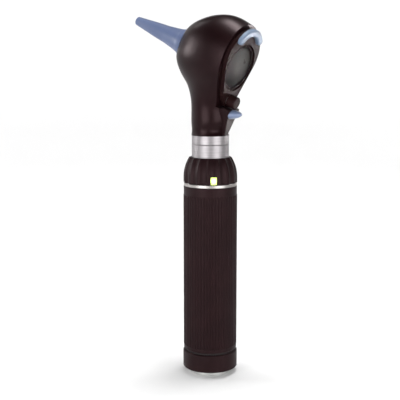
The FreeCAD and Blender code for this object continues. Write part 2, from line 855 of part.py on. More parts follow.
def head_form(name, inset, first=0):
    """The head's outer form from one of its sections upwards, all round smaller by the inset."""
    rings = []
    for place in range(first, len(HEAD_SECTIONS)):
        shrink = f" - ({inset})"
        if place == len(HEAD_SECTIONS) - 1:
            shrink = ""
        ring = bind(
            doc.addObject("Part::Ellipse", f"{name}_ring_{place}"),
            MajorRadius=f"section_half_length_{place}{shrink}",
            MinorRadius=f"section_half_width_{place}{shrink}")
        quarter = FreeCAD.Rotation(FreeCAD.Vector(0, 0, 1), 90)
        level = f"section_level_{place}"
        if place >= len(HEAD_SECTIONS) - CROWN_SECTIONS:
            level = f"section_level_{place} - ({inset})"
        rings.append(put(ring, y=f"section_shift_{place}", z=level, rotation=quarter))
    form = doc.addObject("Part::Loft", name)
    form.Sections = rings
    form.Solid = True
    form.Ruled = False
    return form


def optic_box(name, half_width, low, high, rear, front):
    """A box in the optical frame, from low to high across the axis and from rear to front along it."""
    item = bind(doc.addObject("Part::Box", name), Length=f"2 * ({half_width})",
                Width=f"({high}) - ({low})", Height=f"({front}) - ({rear})")
    tilt = FreeCAD.Rotation(FreeCAD.Vector(1, 0, 0), 90 - number("optic_tilt"))
    lean = "(optic_tilt * 1 deg)"
    return put(
        item, f"-({half_width})", f"({low}) * sin({lean}) - ({rear}) * cos({lean})",
        f"optic_height + ({low}) * cos({lean}) + ({rear}) * sin({lean})", tilt)


def optic_cylinder(name, radius, rear, front, x="0", up="0"):
    """A cylinder along the optical axis, from rear to front."""
    tilt = FreeCAD.Rotation(FreeCAD.Vector(1, 0, 0), 90 - number("optic_tilt"))
    lean = "(optic_tilt * 1 deg)"
    return cylinder(
        name, radius, f"({front}) - ({rear})", x, f"({up}) * sin({lean}) - ({rear}) * cos({lean})",
        f"optic_height + ({up}) * cos({lean}) + ({rear}) * sin({lean})", tilt)


def button_block():
    """Tapering spine on the back of the neck, which the button slides in."""
    spine = doc.addObject("Part::Wedge", "spine_wedge")
    bind(spine, Xmin="-block_half_bottom", Xmax="block_half_bottom", X2min="-block_half_top",
         X2max="block_half_top", Ymin="-block_bottom", Ymax="-block_top", Zmin="-block_rear",
         Zmax="-block_front_bottom", Z2min="-block_rear", Z2max="-block_front_top")
    on_optic_axis(spine)

    lean = math.radians(number("optic_tilt"))
    shortest = 2 * number("block_half_bottom")

    def rear_long(edge):
        middle = edge.BoundBox.Center
        behind = middle.y * math.cos(lean) - (middle.z - number("optic_height")) * math.sin(lean)
        return edge.Length > shortest and behind > number("block_rear - overlap")

    return rounded("spine", spine, "block_round", rear_long)


def button_recess():
    """Oval pocket for the button and the hole for its stem."""
    facing = FreeCAD.Rotation(FreeCAD.Vector(1, 0, 0), -90)
    oval = bind(doc.addObject("Part::Ellipse", "recess_oval"), MajorRadius="button_half_width + button_gap",
                MinorRadius="button_half_height + button_gap")
    put(oval, y="recess_floor", z="button_height", rotation=facing)
    pocket = doc.addObject("Part::Extrusion", "recess")
    pocket.Base = oval
    pocket.DirMode = "Custom"
    pocket.Dir = FreeCAD.Vector(0, 1, 0)
    bind(pocket, LengthFwd="recess_length")
    pocket.Solid = True
    hole = cylinder("stem_channel", "stem_hole", "recess_floor", z="button_height", rotation=facing)
    return [pocket, hole]


def head_housing():
    """Moulded shell of the head: neck, egg-shaped body, spine, and the walls inside it."""
    outer = fuse("outer_form", [head_form("outer_egg", "0"), button_block()])
    hollow = head_form("inner_egg", "head_wall", NECK_TOP_SECTION)
    boss = optic_cylinder("pivot_boss", "pivot_boss_radius", "-rear_plane", "-pivot_boss_end",
                          up="-pivot_drop")
    web = optic_box("rear_web", "tool_reach", "-tool_reach", "-bezel_drop - 2 * running_gap", "-rear_plane",
                    "bezel_thickness - rear_plane")
    screw_bosses = [
        optic_cylinder(f"screw_boss_{side}", "screw_boss_radius", "bezel_thickness - rear_plane",
                       "-screw_boss_end", x=f"{side} * screw_side", up="screw_rise") for side in (-1, 1)]
    partition = optic_box("partition", "tool_reach", "-partition_drop", "tool_reach", "partition_rear",
                          "partition_front")
    port = optic_cylinder("partition_port", "cone_base_radius + port_gap", "partition_rear - overcut",
                          "partition_front + overcut")
    partition_wall = cut("partition_wall", partition, [port])
    cavity = cut("cavity", hollow, [boss, web, partition_wall] + screw_bosses)
    bore_top = f"section_level_{NECK_TOP_SECTION} + head_bore_rise"
    bore = cylinder("neck_bore", "head_bore_radius", f"{bore_top} - head_bottom", z="head_bottom")
    mouth = optic_cylinder("mouth", "mouth_radius", "cone_flange_front + play", "tool_reach")
    rear_cut = optic_box("rear_cut", "tool_reach", "-slot_depth", "tool_reach", "-rear_plane - tool_reach",
                         "-rear_plane")
    slot_wall = optic_box("slot_wall", "tool_reach", "-slot_depth", "-block_top", "-block_rear - overcut",
                          "-slot_rear")
    opened = cut("rear_opening", rear_cut, [slot_wall])
    pivot_hole = optic_cylinder("pivot_hole", "pivot_radius + running_gap", "-rear_plane - overcut",
                                "-pivot_hole_end", up="-pivot_drop")
    screw_holes = [
        optic_cylinder(f"screw_hole_{side}", "screw_radius + running_gap", "-rear_plane", "-screw_hole_end",
                       x=f"{side} * screw_side", up="screw_rise") for side in (-1, 1)]
    node(cut("head_housing", outer,
             [cavity, bore, mouth, opened, pivot_hole] + screw_holes + button_recess()))


def rear_bezel():
    """Frame plate set into the back of the shell, behind which the lens swings."""
    egg = head_form("bezel_egg", "head_wall + 1.5 * running_gap", NECK_TOP_SECTION)
    slab = optic_box("bezel_slab", "tool_reach", "-bezel_drop", "tool_reach", "-rear_plane",
                     "bezel_thickness - rear_plane")
    blank = common("bezel_blank", [egg, slab])
    hole = optic_cylinder("bezel_hole", "bezel_hole_radius", "-rear_plane - overcut",
                          "bezel_thickness - rear_plane + overcut")
    head_depth = "screw_head_depth - rear_plane"
    screw_room = []
    for side in (-1, 1):
        place = {"x": f"{side} * screw_side", "up": "screw_rise"}
        screw_room.append(optic_cylinder(f"bezel_screw_hole_{side}", "screw_radius + running_gap",
                                         "-rear_plane - overcut", "-screw_boss_end", **place))
        screw_room.append(optic_cylinder(f"bezel_screw_seat_{side}", "screw_head_radius + running_gap",
                                         "-rear_plane - overcut", head_depth, **place))
    node(cut("rear_bezel", blank, [hole] + screw_room))


def bezel_screws():
    """Two screws that hold the bezel to the shell's bosses."""
    screws = []
    end = "-screw_hole_end - play"
    for side in (-1, 1):
        place = {"x": f"{side} * screw_side", "up": "screw_rise"}
        shank = optic_cylinder(f"screw_shank_{side}", "screw_radius", "-rear_plane + 2 * running_gap", end,
                               **place)
        head = optic_cylinder(f"screw_head_{side}", "screw_head_radius", "-rear_plane + 2 * running_gap",
                              "screw_head_depth - rear_plane", **place)
        screws.append(fuse(f"screw_{side}", [shank, head]))
    group = doc.addObject("Part::Compound", "bezel_screws")
    group.Links = screws
    node(group)


def pivot_screw():
    """Shoulder screw with a round knob for its head, which the lens frame swings on."""
    screw = turned("pivot_screw", [
        ("0", "pivot_hole_end + play"),
        ("pivot_radius", "pivot_hole_end + play"),
        ("pivot_radius", "slot_rear"),
        ("knob_radius", "slot_rear"),
        ("knob_radius", "knob_end - knob_bevel"),
        ("knob_radius - knob_bevel", "knob_end"),
        ("0", "knob_end"),
    ])
    node(behind_lens(screw, "-pivot_drop"))


def behind_lens(item, up):
    """Place an item drawn with Z to the rear on the optical axis, raised across it."""
    lean = "(optic_tilt * 1 deg)"
    facing = FreeCAD.Rotation(FreeCAD.Vector(1, 0, 0), -90 - number("optic_tilt"))
    return put(item, y=f"({up}) * sin({lean})", z=f"optic_height + ({up}) * cos({lean})", rotation=facing)


# ---------------------------------------------------------------- lens frame

def belt(name, circles, bottom, top):
    """A flat plate whose outline is a belt round circles, given as (x, y, radius) formulas in turn."""
    body = doc.addObject("PartDesign::Body", name)
    sketch = new_sketch(body, name + "_outline", "XY_Plane")
    sketch.setExpression("AttachmentOffset.Base.z", formula(bottom))
    centres = [FreeCAD.Vector(number(x), number(y), 0) for x, y, radius in circles]
    radii = [number(radius) for x, y, radius in circles]
    count = len(circles)
    normals = []
    for place in range(count):
        following = (place + 1) % count
        way = centres[following] - centres[place]
        lean = math.asin((radii[place] - radii[following]) / way.Length)
        heading = math.atan2(way.y, way.x) - math.pi / 2 + lean
        normals.append(heading)
    for place in range(count):
        first, last = normals[place - 1], normals[place]
        while last < first:
            last += 2 * math.pi
        circle = Part.Circle(centres[place], FreeCAD.Vector(0, 0, 1), radii[place])
        sketch.addGeometry(Part.ArcOfCircle(circle, first, last), False)
    for place in range(count):
        following = (place + 1) % count
        side = FreeCAD.Vector(math.cos(normals[place]), math.sin(normals[place]), 0)
        sketch.addGeometry(Part.LineSegment(
            centres[place] + side * radii[place], centres[following] + side * radii[following]), False)
    for place, (x, y, radius) in enumerate(circles):
        fix_point(sketch, place, 3, x, y)
        rule = Sketcher.Constraint("Radius", place, number(radius))
        sketch.setExpression(f"Constraints[{sketch.addConstraint(rule)}]", formula(radius))
        following = (place + 1) % count
        sketch.addConstraint(Sketcher.Constraint("Tangent", place, 2, count + place, 1))
        sketch.addConstraint(Sketcher.Constraint("Tangent", count + place, 2, following, 1))
    pad = body.newObject("PartDesign::Pad", name + "_pad")
    pad.Profile = sketch
    bind(pad, Length=f"{top} - ({bottom})")
    return body


def lens_plate():
    """Plate that carries the lens and swings on the pivot screw."""
    corner = ("plate_corner_side", "-plate_corner_drop", "plate_corner_radius")
    blank = belt("plate_blank", [
        ("0", "plate_rise", "plate_radius"),
        ("-" + corner[0], corner[1], corner[2]),
        ("0", "-pivot_drop", "plate_hub_radius"),
        corner,
    ], "-plate_rear", "-plate_front")
    on_optic_axis(blank)
    lens_floor = "-plate_front - lens_lip"
    ring_floor = "-plate_front - lens_lip - lens_edge"
    lip = optic_cylinder("lens_lip_hole", "retainer_inner", "-plate_rear - overcut",
                         "-plate_front + overcut")
    seat = optic_cylinder("lens_seat", "lens_radius + running_gap", "-plate_rear - overcut", lens_floor)
    groove = optic_cylinder("retainer_seat", "retainer_groove", "-plate_rear - overcut", ring_floor)
    hole = optic_cylinder("plate_pivot_hole", "pivot_radius + running_gap", "-plate_rear - overcut",
                          "-plate_front + overcut", up="-pivot_drop")
    node(cut("lens_plate", blank, [lip, seat, groove, hole]))


def lens():
    """Magnifier, flat inside and domed outside."""
    front = "plate_front + lens_lip"
    edge = f"{front} + lens_edge"
    dome = f"{edge} + lens_crown - sqrt(lens_crown ^ 2 - lens_radius ^ 2)"
    glass = turned("lens", [
        ("0", front),
        ("lens_radius", front),
        ("lens_radius", edge),
        ("0", dome, "lens_crown"),
    ])
    node(behind_lens(glass, "0"))


def lens_retainer():
    """Bright ring that holds the lens in its seat."""
    bottom = "plate_front + lens_lip + lens_edge"
    top = f"{bottom} + retainer_height"
    ring = turned("lens_retainer", [
        ("retainer_inner", f"{bottom} + retainer_bevel"),
        ("lens_radius + running_gap", bottom),
        ("retainer_outer", bottom),
        ("retainer_outer", f"{top} - retainer_bevel"),
        ("retainer_outer - retainer_bevel", top),
        ("retainer_inner", top),
    ])
    node(behind_lens(ring, "0"))


def lens_grip():
    """Curved finger grip on top of the plate, like an inverted U with round ends."""
    lift = 90 - number("grip_spread") / 2
    facing = FreeCAD.Rotation(FreeCAD.Vector(0, 0, 1), lift)
    outer = cylinder("grip_outer", "grip_radius + grip_half_width", "grip_height", y="grip_rise",
                     z="-plate_rear - grip_height", rotation=facing)
    outer.Angle = number("grip_spread")
    inner = cylinder("grip_inner", "grip_radius - grip_half_width", "grip_height", y="grip_rise",
                     z="-plate_rear - grip_height")
    arch = cut("grip_arch", outer, [inner])
    half = "(grip_spread / 2 * 1 deg)"
    ends = [
        cylinder(f"grip_end_{side}", "grip_half_width", "grip_height",
                 f"{side} * grip_radius * sin({half})", f"grip_rise + grip_radius * cos({half})",
                 "-plate_rear - grip_height") for side in (-1, 1)]
    whole = fuse("grip_blank", [arch] + ends)
    rear = -number("plate_rear + grip_height")

    def on_top(edge):
        return abs(edge.BoundBox.ZMax - rear) < 1e-3

    whole.Refine = True
    node(on_optic_axis(rounded("lens_grip", whole, "grip_round", on_top)))


def pivot_washer():
    """Flat washer between the plate and the knob."""
    bottom = "plate_rear + washer_gap"
    ring = tube_ring("pivot_washer", "pivot_radius + running_gap", "knob_radius - washer_inset", bottom,
                     f"{bottom} + washer_thickness")
    node(behind_lens(ring, "-pivot_drop"))


# ---------------------------------------------------------------- ejector

def ejector_button():
    """Oval push-button with a domed end. It is hollow for its spring, and has a stem through the neck."""
    facing = FreeCAD.Rotation(FreeCAD.Vector(1, 0, 0), -90)
    dome = bind(doc.addObject("Part::Ellipsoid", "button_dome"), Radius1="button_half_height",
                Radius2="button_half_width", Radius3="button_tip - button_middle")
    dome.Angle1 = -90
    dome.Angle2 = 90
    put(dome, y="button_middle", z="button_height")
    rear_half = box("button_half_space", "tool_reach", "tool_reach", "tool_reach",
                    y="button_middle + tool_reach / 2", z="button_height - tool_reach / 2")
    cap = common("button_cap", [dome, rear_half])
    oval = doc.addObject("Part::Ellipse", "button_oval")
    bind(oval, MajorRadius="button_half_width - button_root_inset",
         MinorRadius="button_half_height - button_root_inset")
    put(oval, y="button_root", z="button_height", rotation=facing)
    root = doc.addObject("Part::Extrusion", "button_root_solid")
    root.Base = oval
    root.DirMode = "Custom"
    root.Dir = FreeCAD.Vector(0, 1, 0)
    bind(root, LengthFwd="button_middle - button_root + button_root_overlap")
    root.Solid = True
    outside = fuse("button_outside", [cap, root])
    room = cylinder("button_spring_room", "spring_cavity_radius",
                    "spring_cavity_end - button_root + overcut", y="button_root - overcut",
                    z="button_height", rotation=facing)
    hollow = cut("button_hollow", outside, [room])
    stem = cylinder("button_stem", "button_stem_radius", "spring_cavity_end + overlap - button_stem_end",
                    y="button_stem_end", z="button_height", rotation=facing)
    node(fuse("ejector_button", [hollow, stem]))
    start = "recess_floor + button_spring_wire + running_gap"
    height = f"spring_cavity_end - button_spring_wire - running_gap - ({start})"
    spring = coil("button_spring", "button_spring_radius", "button_spring_wire",
                  "button_spring_coil", height)
    node(put(spring, y=start, z="button_height", rotation=facing))


def ejector_slider():
    """Fork that passes the light guide and rises inside the front wall to the ejector sleeve."""
    bottom = "-slider_top - slider_thickness"
    fork = optic_box("fork", "slider_half_width", bottom, "-slider_top", "-slider_rear", "-slider_front")
    gap = optic_box("fork_gap", "fork_half_gap", f"{bottom} - overcut", "-slider_top + overcut",
                    "-fork_rear", "-fork_front")
    foot = optic_box("slider_foot", "foot_half_width", "-foot_drop", bottom, "-slider_rear", "-fork_rear")
    riser = doc.addObject("Part::Wedge", "riser")
    bind(riser, Xmin="-riser_half_width", Xmax="riser_half_width", X2min="-riser_half_width",
         X2max="riser_half_width", Ymin=bottom, Ymax="-riser_reach", Zmin="-slider_front - riser_thickness",
         Zmax="-slider_front", Z2min="riser_top_front - riser_thickness", Z2max="riser_top_front")
    on_optic_axis(riser)
    sleeve_room = optic_cylinder("riser_sleeve_room", "ejector_inner", "0", "tool_reach")
    whole = fuse("slider_blank", [cut("fork_plate", fork, [gap]), foot, riser])
    node(cut("ejector_slider", whole, [sleeve_room]))


def ejector_sleeve():
    """Sleeve round the nose cone that pushes the speculum off."""
    sleeve = tube_ring("ejector_sleeve", "ejector_inner", "ejector_outer", "ejector_rear", "ejector_front")
    node(on_optic_axis(sleeve))


# ---------------------------------------------------------------- nose and speculum

def nose():
    """Chrome cone that holds the speculum, with the view tube and the ring of fibres inside it."""
    fibre_rear = "view_tube_rear + view_tube_wall"
    fibre_tip = "view_tube_tip + view_tube_wall"
    cone_bore_rear = "cone_base_radius - cone_wall"
    throat = "cone_seat_front"
    bore_throat = f"{fibre_rear} + fibre_width"
    bore_tip = "cone_tip_radius - cone_tip_wall"
    node(on_optic_axis(turned("nose_cone", [
        (cone_bore_rear, "partition_front"),
        ("cone_flange_radius", "partition_front"),
        ("cone_flange_radius", "cone_flange_front"),
        ("cone_base_radius", "cone_flange_front"),
        ("cone_seat_radius", "cone_seat_rear"),
        ("cone_seat_radius", "cone_seat_front"),
        ("cone_step_radius", "cone_seat_front + cone_step"),
        ("cone_tip_radius", "cone_tip"),
        (bore_tip, "cone_tip"),
        (bore_throat, throat),
        (bore_throat, "cone_flange_front + cone_step"),
        (cone_bore_rear, "cone_flange_front + cone_step"),
    ])))
    node(on_optic_axis(turned("view_tube", [
        ("view_tube_rear", "partition_front + view_tube_inset"),
        (fibre_rear, "partition_front + view_tube_inset"),
        (fibre_rear, throat),
        (fibre_tip, "cone_tip"),
        ("view_tube_tip", "cone_tip"),
        ("view_tube_rear", throat),
    ])))
    share = "fibre_depth / (cone_tip - cone_seat_front)"
    inner_back = f"{fibre_tip} + ({fibre_rear} - ({fibre_tip})) * {share}"
    outer_back = f"{bore_tip} + ({bore_throat} - ({bore_tip})) * {share}"
    node(on_optic_axis(turned("fibre_ring", [
        (f"{inner_back} + fibre_gap", "cone_tip - fibre_depth"),
        (f"{outer_back} - fibre_gap", "cone_tip - fibre_depth"),
        (f"{bore_tip} - fibre_gap", "cone_tip"),
        (f"{fibre_tip} + fibre_gap", "cone_tip"),
    ])))


def speculum():
    """Slender tapering funnel, flared where it fits the nose cone."""
    seat = "cone_seat_radius + running_gap"
    outside = [(f"flare_radius_{place}", f"flare_along_{place}") for place in range(len(FLARE))]
    inside = [(f"{radius} - speculum_wall", along) for radius, along in outside[FLARE_INSIDE:]]
    node(on_optic_axis(turned("speculum", [
        (f"{seat} + speculum_wall", "speculum_base"),
        ("speculum_flange - speculum_bevel", "speculum_base"),
        ("speculum_flange", "speculum_base + speculum_bevel"),
        *outside,
        ("speculum_tip_radius", "speculum_tip - speculum_tip_bevel"),
        ("speculum_tip_radius - speculum_bevel", "speculum_tip"),
        ("speculum_bore", "speculum_tip"),
        *reversed(inside),
        (seat, "cone_seat_front + speculum_seat_spare"),
        (seat, "cone_seat_rear"),
        (f"{seat} + speculum_wall", "cone_seat_rear - speculum_seat_lead"),
    ])))


# ---------------------------------------------------------------- build, check and write

def check():
    """Stop if any object failed or any piece is not one or more valid solids."""
    doc.recompute()
    for item in doc.Objects:
        if "Invalid" in item.State or "Error" in item.State:
            raise RuntimeError(f"{item.Name} failed: {item.State}")
    for item in nodes:
        shape = item.Shape
        if shape.isNull() or not shape.isValid() or not shape.Solids:
            raise RuntimeError(f"{item.Name} has no valid solid")


def write():
    os.makedirs("parts", exist_ok=True)
    for item in nodes:
        item.Shape.exportStep(f"parts/{item.Label}.step")


base_contact()
end_cap()
tail_contact()
batteries()
battery_tube()
cap_seal()
grip_sleeve()
accent_ring()
dimmer_ring()
indicator_lens()
dimmer_electronics()
handle_collar()
centre_contact()
head_ring()
lamp()
light_guide()
head_housing()
rear_bezel()
bezel_screws()
pivot_screw()
lens_plate()
lens()
lens_retainer()
lens_grip()
pivot_washer()
ejector_button()
ejector_slider()
ejector_sleeve()
nose()
speculum()
check()
write()
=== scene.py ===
import math

import bpy
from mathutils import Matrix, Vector


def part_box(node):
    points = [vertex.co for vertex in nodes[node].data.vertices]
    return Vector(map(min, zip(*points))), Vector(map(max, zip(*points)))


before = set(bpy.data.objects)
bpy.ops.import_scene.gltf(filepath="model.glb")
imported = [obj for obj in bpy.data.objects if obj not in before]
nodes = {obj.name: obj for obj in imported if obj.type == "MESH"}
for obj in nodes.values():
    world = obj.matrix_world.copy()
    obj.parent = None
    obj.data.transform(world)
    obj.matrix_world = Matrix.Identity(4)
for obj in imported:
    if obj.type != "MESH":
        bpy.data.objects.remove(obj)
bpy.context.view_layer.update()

# Lengths are in metres, colours are linear red, green and blue, and lights are in watts.

# Directions seen from the camera, which stands behind the instrument and to its side.
CAMERA_AZIMUTH = math.radians(122.5)
TO_CAMERA = Vector((math.sin(CAMERA_AZIMUTH), -math.cos(CAMERA_AZIMUTH), 0))
TO_RIGHT = Vector((math.cos(CAMERA_AZIMUTH), math.sin(CAMERA_AZIMUTH), 0))
UP = Vector((0, 0, 1))


def middle(box):
    low, high = box
    return (low + high) / 2


# ---------------------------------------------------------------- materials

BEVEL_SAMPLES = 12

# A light and a dark patch make one cycle of noise.
PATCHES_PER_CYCLE = 2

# Noise values between these two cover the whole range of the colour or roughness they drive.
ROUGHNESS_NOISE = (0.30, 0.70)
COLOUR_NOISE = (0.35, 0.65)

# Moulded plastics reflect slightly warm.
PLASTIC_TINT = (1.0, 0.70, 0.74)

# Scales that stretch noise into rings and brushing round the handle's axis.
RING_STRETCH = (0.02, 0.02, 1)
BRUSHED_STRETCH = (0.05, 0.05, 1)
QUARTER_TURN = 0.25


class Finish:
    """A material under construction, with short ways to add textures to it."""

    def __init__(self, name, colour, roughness, metallic=0.0):
        self.material = bpy.data.materials.new(name)
        self.material.use_nodes = True
        self.tree = self.material.node_tree
        self.shader = self.tree.nodes["Principled BSDF"]
        self.colour = colour
        self.roughness = roughness
        self.set("Base Color", (*colour, 1))
        self.set("Roughness", roughness)
        self.set("Metallic", metallic)
        self.place = self.tree.nodes.new("ShaderNodeTexCoord").outputs["Object"]
        self.normal = None

    def set(self, socket, value):
        self.shader.inputs[socket].default_value = value

    def drive(self, socket, source):
        self.tree.links.new(source, self.shader.inputs[socket])

    def node(self, kind, inputs=(), **settings):
        made = self.tree.nodes.new(kind)
        for key, value in settings.items():
            setattr(made, key, value)
        for key, value in dict(inputs).items():
            if isinstance(value, bpy.types.NodeSocket):
                self.tree.links.new(value, made.inputs[key])
            else:
                made.inputs[key].default_value = value
        return made

    def noise(self, size, detail=3.0, stretch=(1, 1, 1)):
        """Noise whose light and dark patches are each about this size."""
        place = self.node("ShaderNodeMapping", {"Vector": self.place, "Scale": stretch})
        made = self.node("ShaderNodeTexNoise", {
            "Vector": place.outputs["Vector"],
            "Scale": 1 / (PATCHES_PER_CYCLE * size), "Detail": detail})
        return made.outputs["Fac"]

    def soften_edges(self, radius):
        """Sharp edges catch the light as if they were rounded this much."""
        bevel = self.node("ShaderNodeBevel", {"Radius": radius}, samples=BEVEL_SAMPLES)
        self.normal = bevel.outputs["Normal"]
        self.drive("Normal", self.normal)

    def vary_roughness(self, value, amount):
        spread = self.node("ShaderNodeMapRange", {
            "Value": value, "From Min": ROUGHNESS_NOISE[0], "From Max": ROUGHNESS_NOISE[1],
            "To Min": self.roughness - amount, "To Max": self.roughness + amount})
        self.drive("Roughness", spread.outputs["Result"])

    def vary_colour(self, value, other):
        ramp = self.node("ShaderNodeValToRGB", {"Fac": value})
        for element, position, colour in zip(
                ramp.color_ramp.elements, COLOUR_NOISE, (self.colour, other)):
            element.position = position
            element.color = (*colour, 1)
        self.drive("Base Color", ramp.outputs["Color"])

    def bump(self, height, depth, strength=1.0):
        """Relief of this depth, on top of any relief or softened edges added before."""
        inputs = {"Height": height, "Distance": depth, "Strength": strength}
        if self.normal is not None:
            inputs["Normal"] = self.normal
        self.normal = self.node("ShaderNodeBump", inputs).outputs["Normal"]
        self.drive("Normal", self.normal)

    def turned(self, amount):
        """Brushing that runs round the handle's axis."""
        tangent = self.node("ShaderNodeTangent", direction_type="RADIAL", axis="Z")
        self.set("Anisotropic", amount)
        self.set("Anisotropic Rotation", QUARTER_TURN)
        self.drive("Tangent", tangent.outputs["Tangent"])


def moulded(name, colour, lighter, roughness, grain, grain_depth, specular):
    """Moulded plastic with spark-eroded grain, slight mottling, and faint handling marks."""
    edge_radius = 0.00025
    mottle = 0.006
    handling_marks, marks_detail, marks_change = 0.012, 5.0, 0.05
    grain_detail = 2.0
    waviness, wave_depth, wave_strength = 0.004, 0.00002, 0.4

    finish = Finish(name, colour, roughness)
    finish.set("Specular IOR Level", specular)
    finish.set("Specular Tint", (*PLASTIC_TINT, 1))
    finish.soften_edges(edge_radius)
    finish.vary_colour(finish.noise(mottle), lighter)
    finish.vary_roughness(finish.noise(handling_marks, marks_detail), marks_change)
    finish.bump(finish.noise(grain, grain_detail), grain_depth)
    finish.bump(finish.noise(waviness), wave_depth, wave_strength)
    return finish.material


def polished(name, colour, lighter, roughness, coat=0.0, specular=0.4):
    """Smooth glossy plastic with the slight waviness of a moulding."""
    edge_radius = 0.0003
    mottle = 0.009
    handling_marks, marks_detail, marks_change = 0.010, 5.0, 0.04
    coat_roughness = 0.12
    subsurface, subsurface_scale, subsurface_radius = 0.06, 0.5, (0.002, 0.002, 0.003)
    waviness, wave_depth, wave_strength = 0.005, 0.00002, 0.5
    grain, grain_detail, grain_depth = 0.0004, 2.0, 0.000004

    finish = Finish(name, colour, roughness)
    finish.set("Specular IOR Level", specular)
    finish.vary_colour(finish.noise(mottle), lighter)
    finish.vary_roughness(finish.noise(handling_marks, marks_detail), marks_change)
    finish.set("Coat Weight", coat)
    finish.set("Coat Roughness", coat_roughness)
    finish.set("Subsurface Weight", subsurface)
    finish.set("Subsurface Radius", subsurface_radius)
    finish.set("Subsurface Scale", subsurface_scale)
    finish.soften_edges(edge_radius)
    finish.bump(finish.noise(waviness), wave_depth, wave_strength)
    finish.bump(finish.noise(grain, grain_detail), grain_depth)
    return finish.material


def lathed(name, colour, darker, roughness, anisotropy, line, line_depth):
    """Metal turned on a lathe: fine rings round the axis, brushed the same way."""
    line_detail = 3.0
    brushing, brushing_detail, brushing_change = 0.0009, 4.0, 0.06

    finish = Finish(name, colour, roughness, metallic=1.0)
    rings = finish.noise(line, line_detail, RING_STRETCH)
    finish.vary_colour(rings, darker)
    finish.vary_roughness(finish.noise(brushing, brushing_detail, BRUSHED_STRETCH), brushing_change)
    finish.bump(rings, line_depth)
    finish.turned(anisotropy)
    return finish.material


def plain_metal(name, colour, darker, roughness):
    """Drawn or stamped metal with no direction to its marks."""
    stain, stain_detail = 0.003, 4.0
    marks, marks_detail, marks_change = 0.002, 4.0, 0.06
    grain, grain_detail, grain_depth = 0.0006, 3.0, 0.000006

    finish = Finish(name, colour, roughness, metallic=1.0)
    finish.vary_colour(finish.noise(stain, stain_detail), darker)
    finish.vary_roughness(finish.noise(marks, marks_detail), marks_change)
    finish.bump(finish.noise(grain, grain_detail), grain_depth)
    return finish.material


def clear_glass(name, tint, roughness, shine=1.0):
    """Glass with a low index, so that it mirrors its pale surroundings only faintly."""
    index = 1.11
    edge_radius = 0.001
    smears, smear_detail, smear_share = 0.006, 5.0, 0.2
    waviness, wave_detail, wave_depth = 0.01, 1.0, 0.000002

    finish = Finish(name, tint, roughness)
    finish.set("Specular Tint", (shine, shine, shine, 1))
    finish.set("Transmission Weight", 1.0)
    finish.set("IOR", index)
    finish.soften_edges(edge_radius)
    finish.vary_roughness(finish.noise(smears, smear_detail), roughness * smear_share)
    finish.bump(finish.noise(waviness, wave_detail), wave_depth)
    return finish.material


def lit(name, colour, strength, source):
    """A lamp or window that is brightest next to its source and fades away from it."""
    roughness = 0.25
    core_radius, faded_radius, faded_share = 0.0004, 0.0022, 0.07
    grain, grain_depth = 0.0005, 0.00001

    finish = Finish(name, colour, roughness)
    away = finish.node("ShaderNodeVectorMath", {0: finish.place, 1: source}, operation="DISTANCE")
    glow = finish.node("ShaderNodeMapRange", {
        "Value": away.outputs["Value"], "From Min": core_radius, "From Max": faded_radius,
        "To Min": strength, "To Max": strength * faded_share})
    finish.drive("Emission Strength", glow.outputs["Result"])
    finish.set("Emission Color", (*colour, 1))
    finish.bump(finish.noise(grain), grain_depth)
    return finish.material


shell = moulded("shell_plastic", (0.0050, 0.0015, 0.0018), (0.0070, 0.0023, 0.0027),
                roughness=0.36, grain=0.00035, grain_depth=0.000014, specular=0.13)
grip_black = moulded("grip_plastic", (0.0070, 0.0026, 0.0030), (0.0100, 0.0038, 0.0043),
                     roughness=0.50, grain=0.00030, grain_depth=0.000014, specular=0.13)
frame_black = moulded("frame_plastic", (0.0080, 0.0030, 0.0032), (0.0110, 0.0043, 0.0044),
                      roughness=0.52, grain=0.00030, grain_depth=0.000010, specular=0.05)
inner_black = moulded("inner_plastic", (0.010, 0.007, 0.007), (0.013, 0.009, 0.009),
                      roughness=0.75, grain=0.00030, grain_depth=0.00002, specular=0.2)
seal = moulded("rubber_seal", (0.010, 0.010, 0.010), (0.014, 0.014, 0.014),
               roughness=0.75, grain=0.00030, grain_depth=0.00001, specular=0.3)

blue_grip = polished("blue_grip_plastic", (0.112, 0.150, 0.211), (0.128, 0.168, 0.231),
                     roughness=0.44, specular=0.25)
blue_button = polished("blue_button_plastic", (0.125, 0.160, 0.250), (0.142, 0.178, 0.272),
                       roughness=0.36, coat=0.15)
blue_speculum = polished("speculum_plastic", (0.070, 0.093, 0.172), (0.082, 0.107, 0.190),
                         roughness=0.42, specular=0.3)
nylon = polished("insulator_nylon", (0.62, 0.60, 0.53), (0.68, 0.66, 0.60), roughness=0.5)
board = polished("circuit_board", (0.012, 0.10, 0.04), (0.018, 0.14, 0.06),
                 roughness=0.35, coat=0.4)
fibre = polished("fibre_ends", (0.80, 0.81, 0.74), (0.70, 0.72, 0.66), roughness=0.28, coat=0.3)

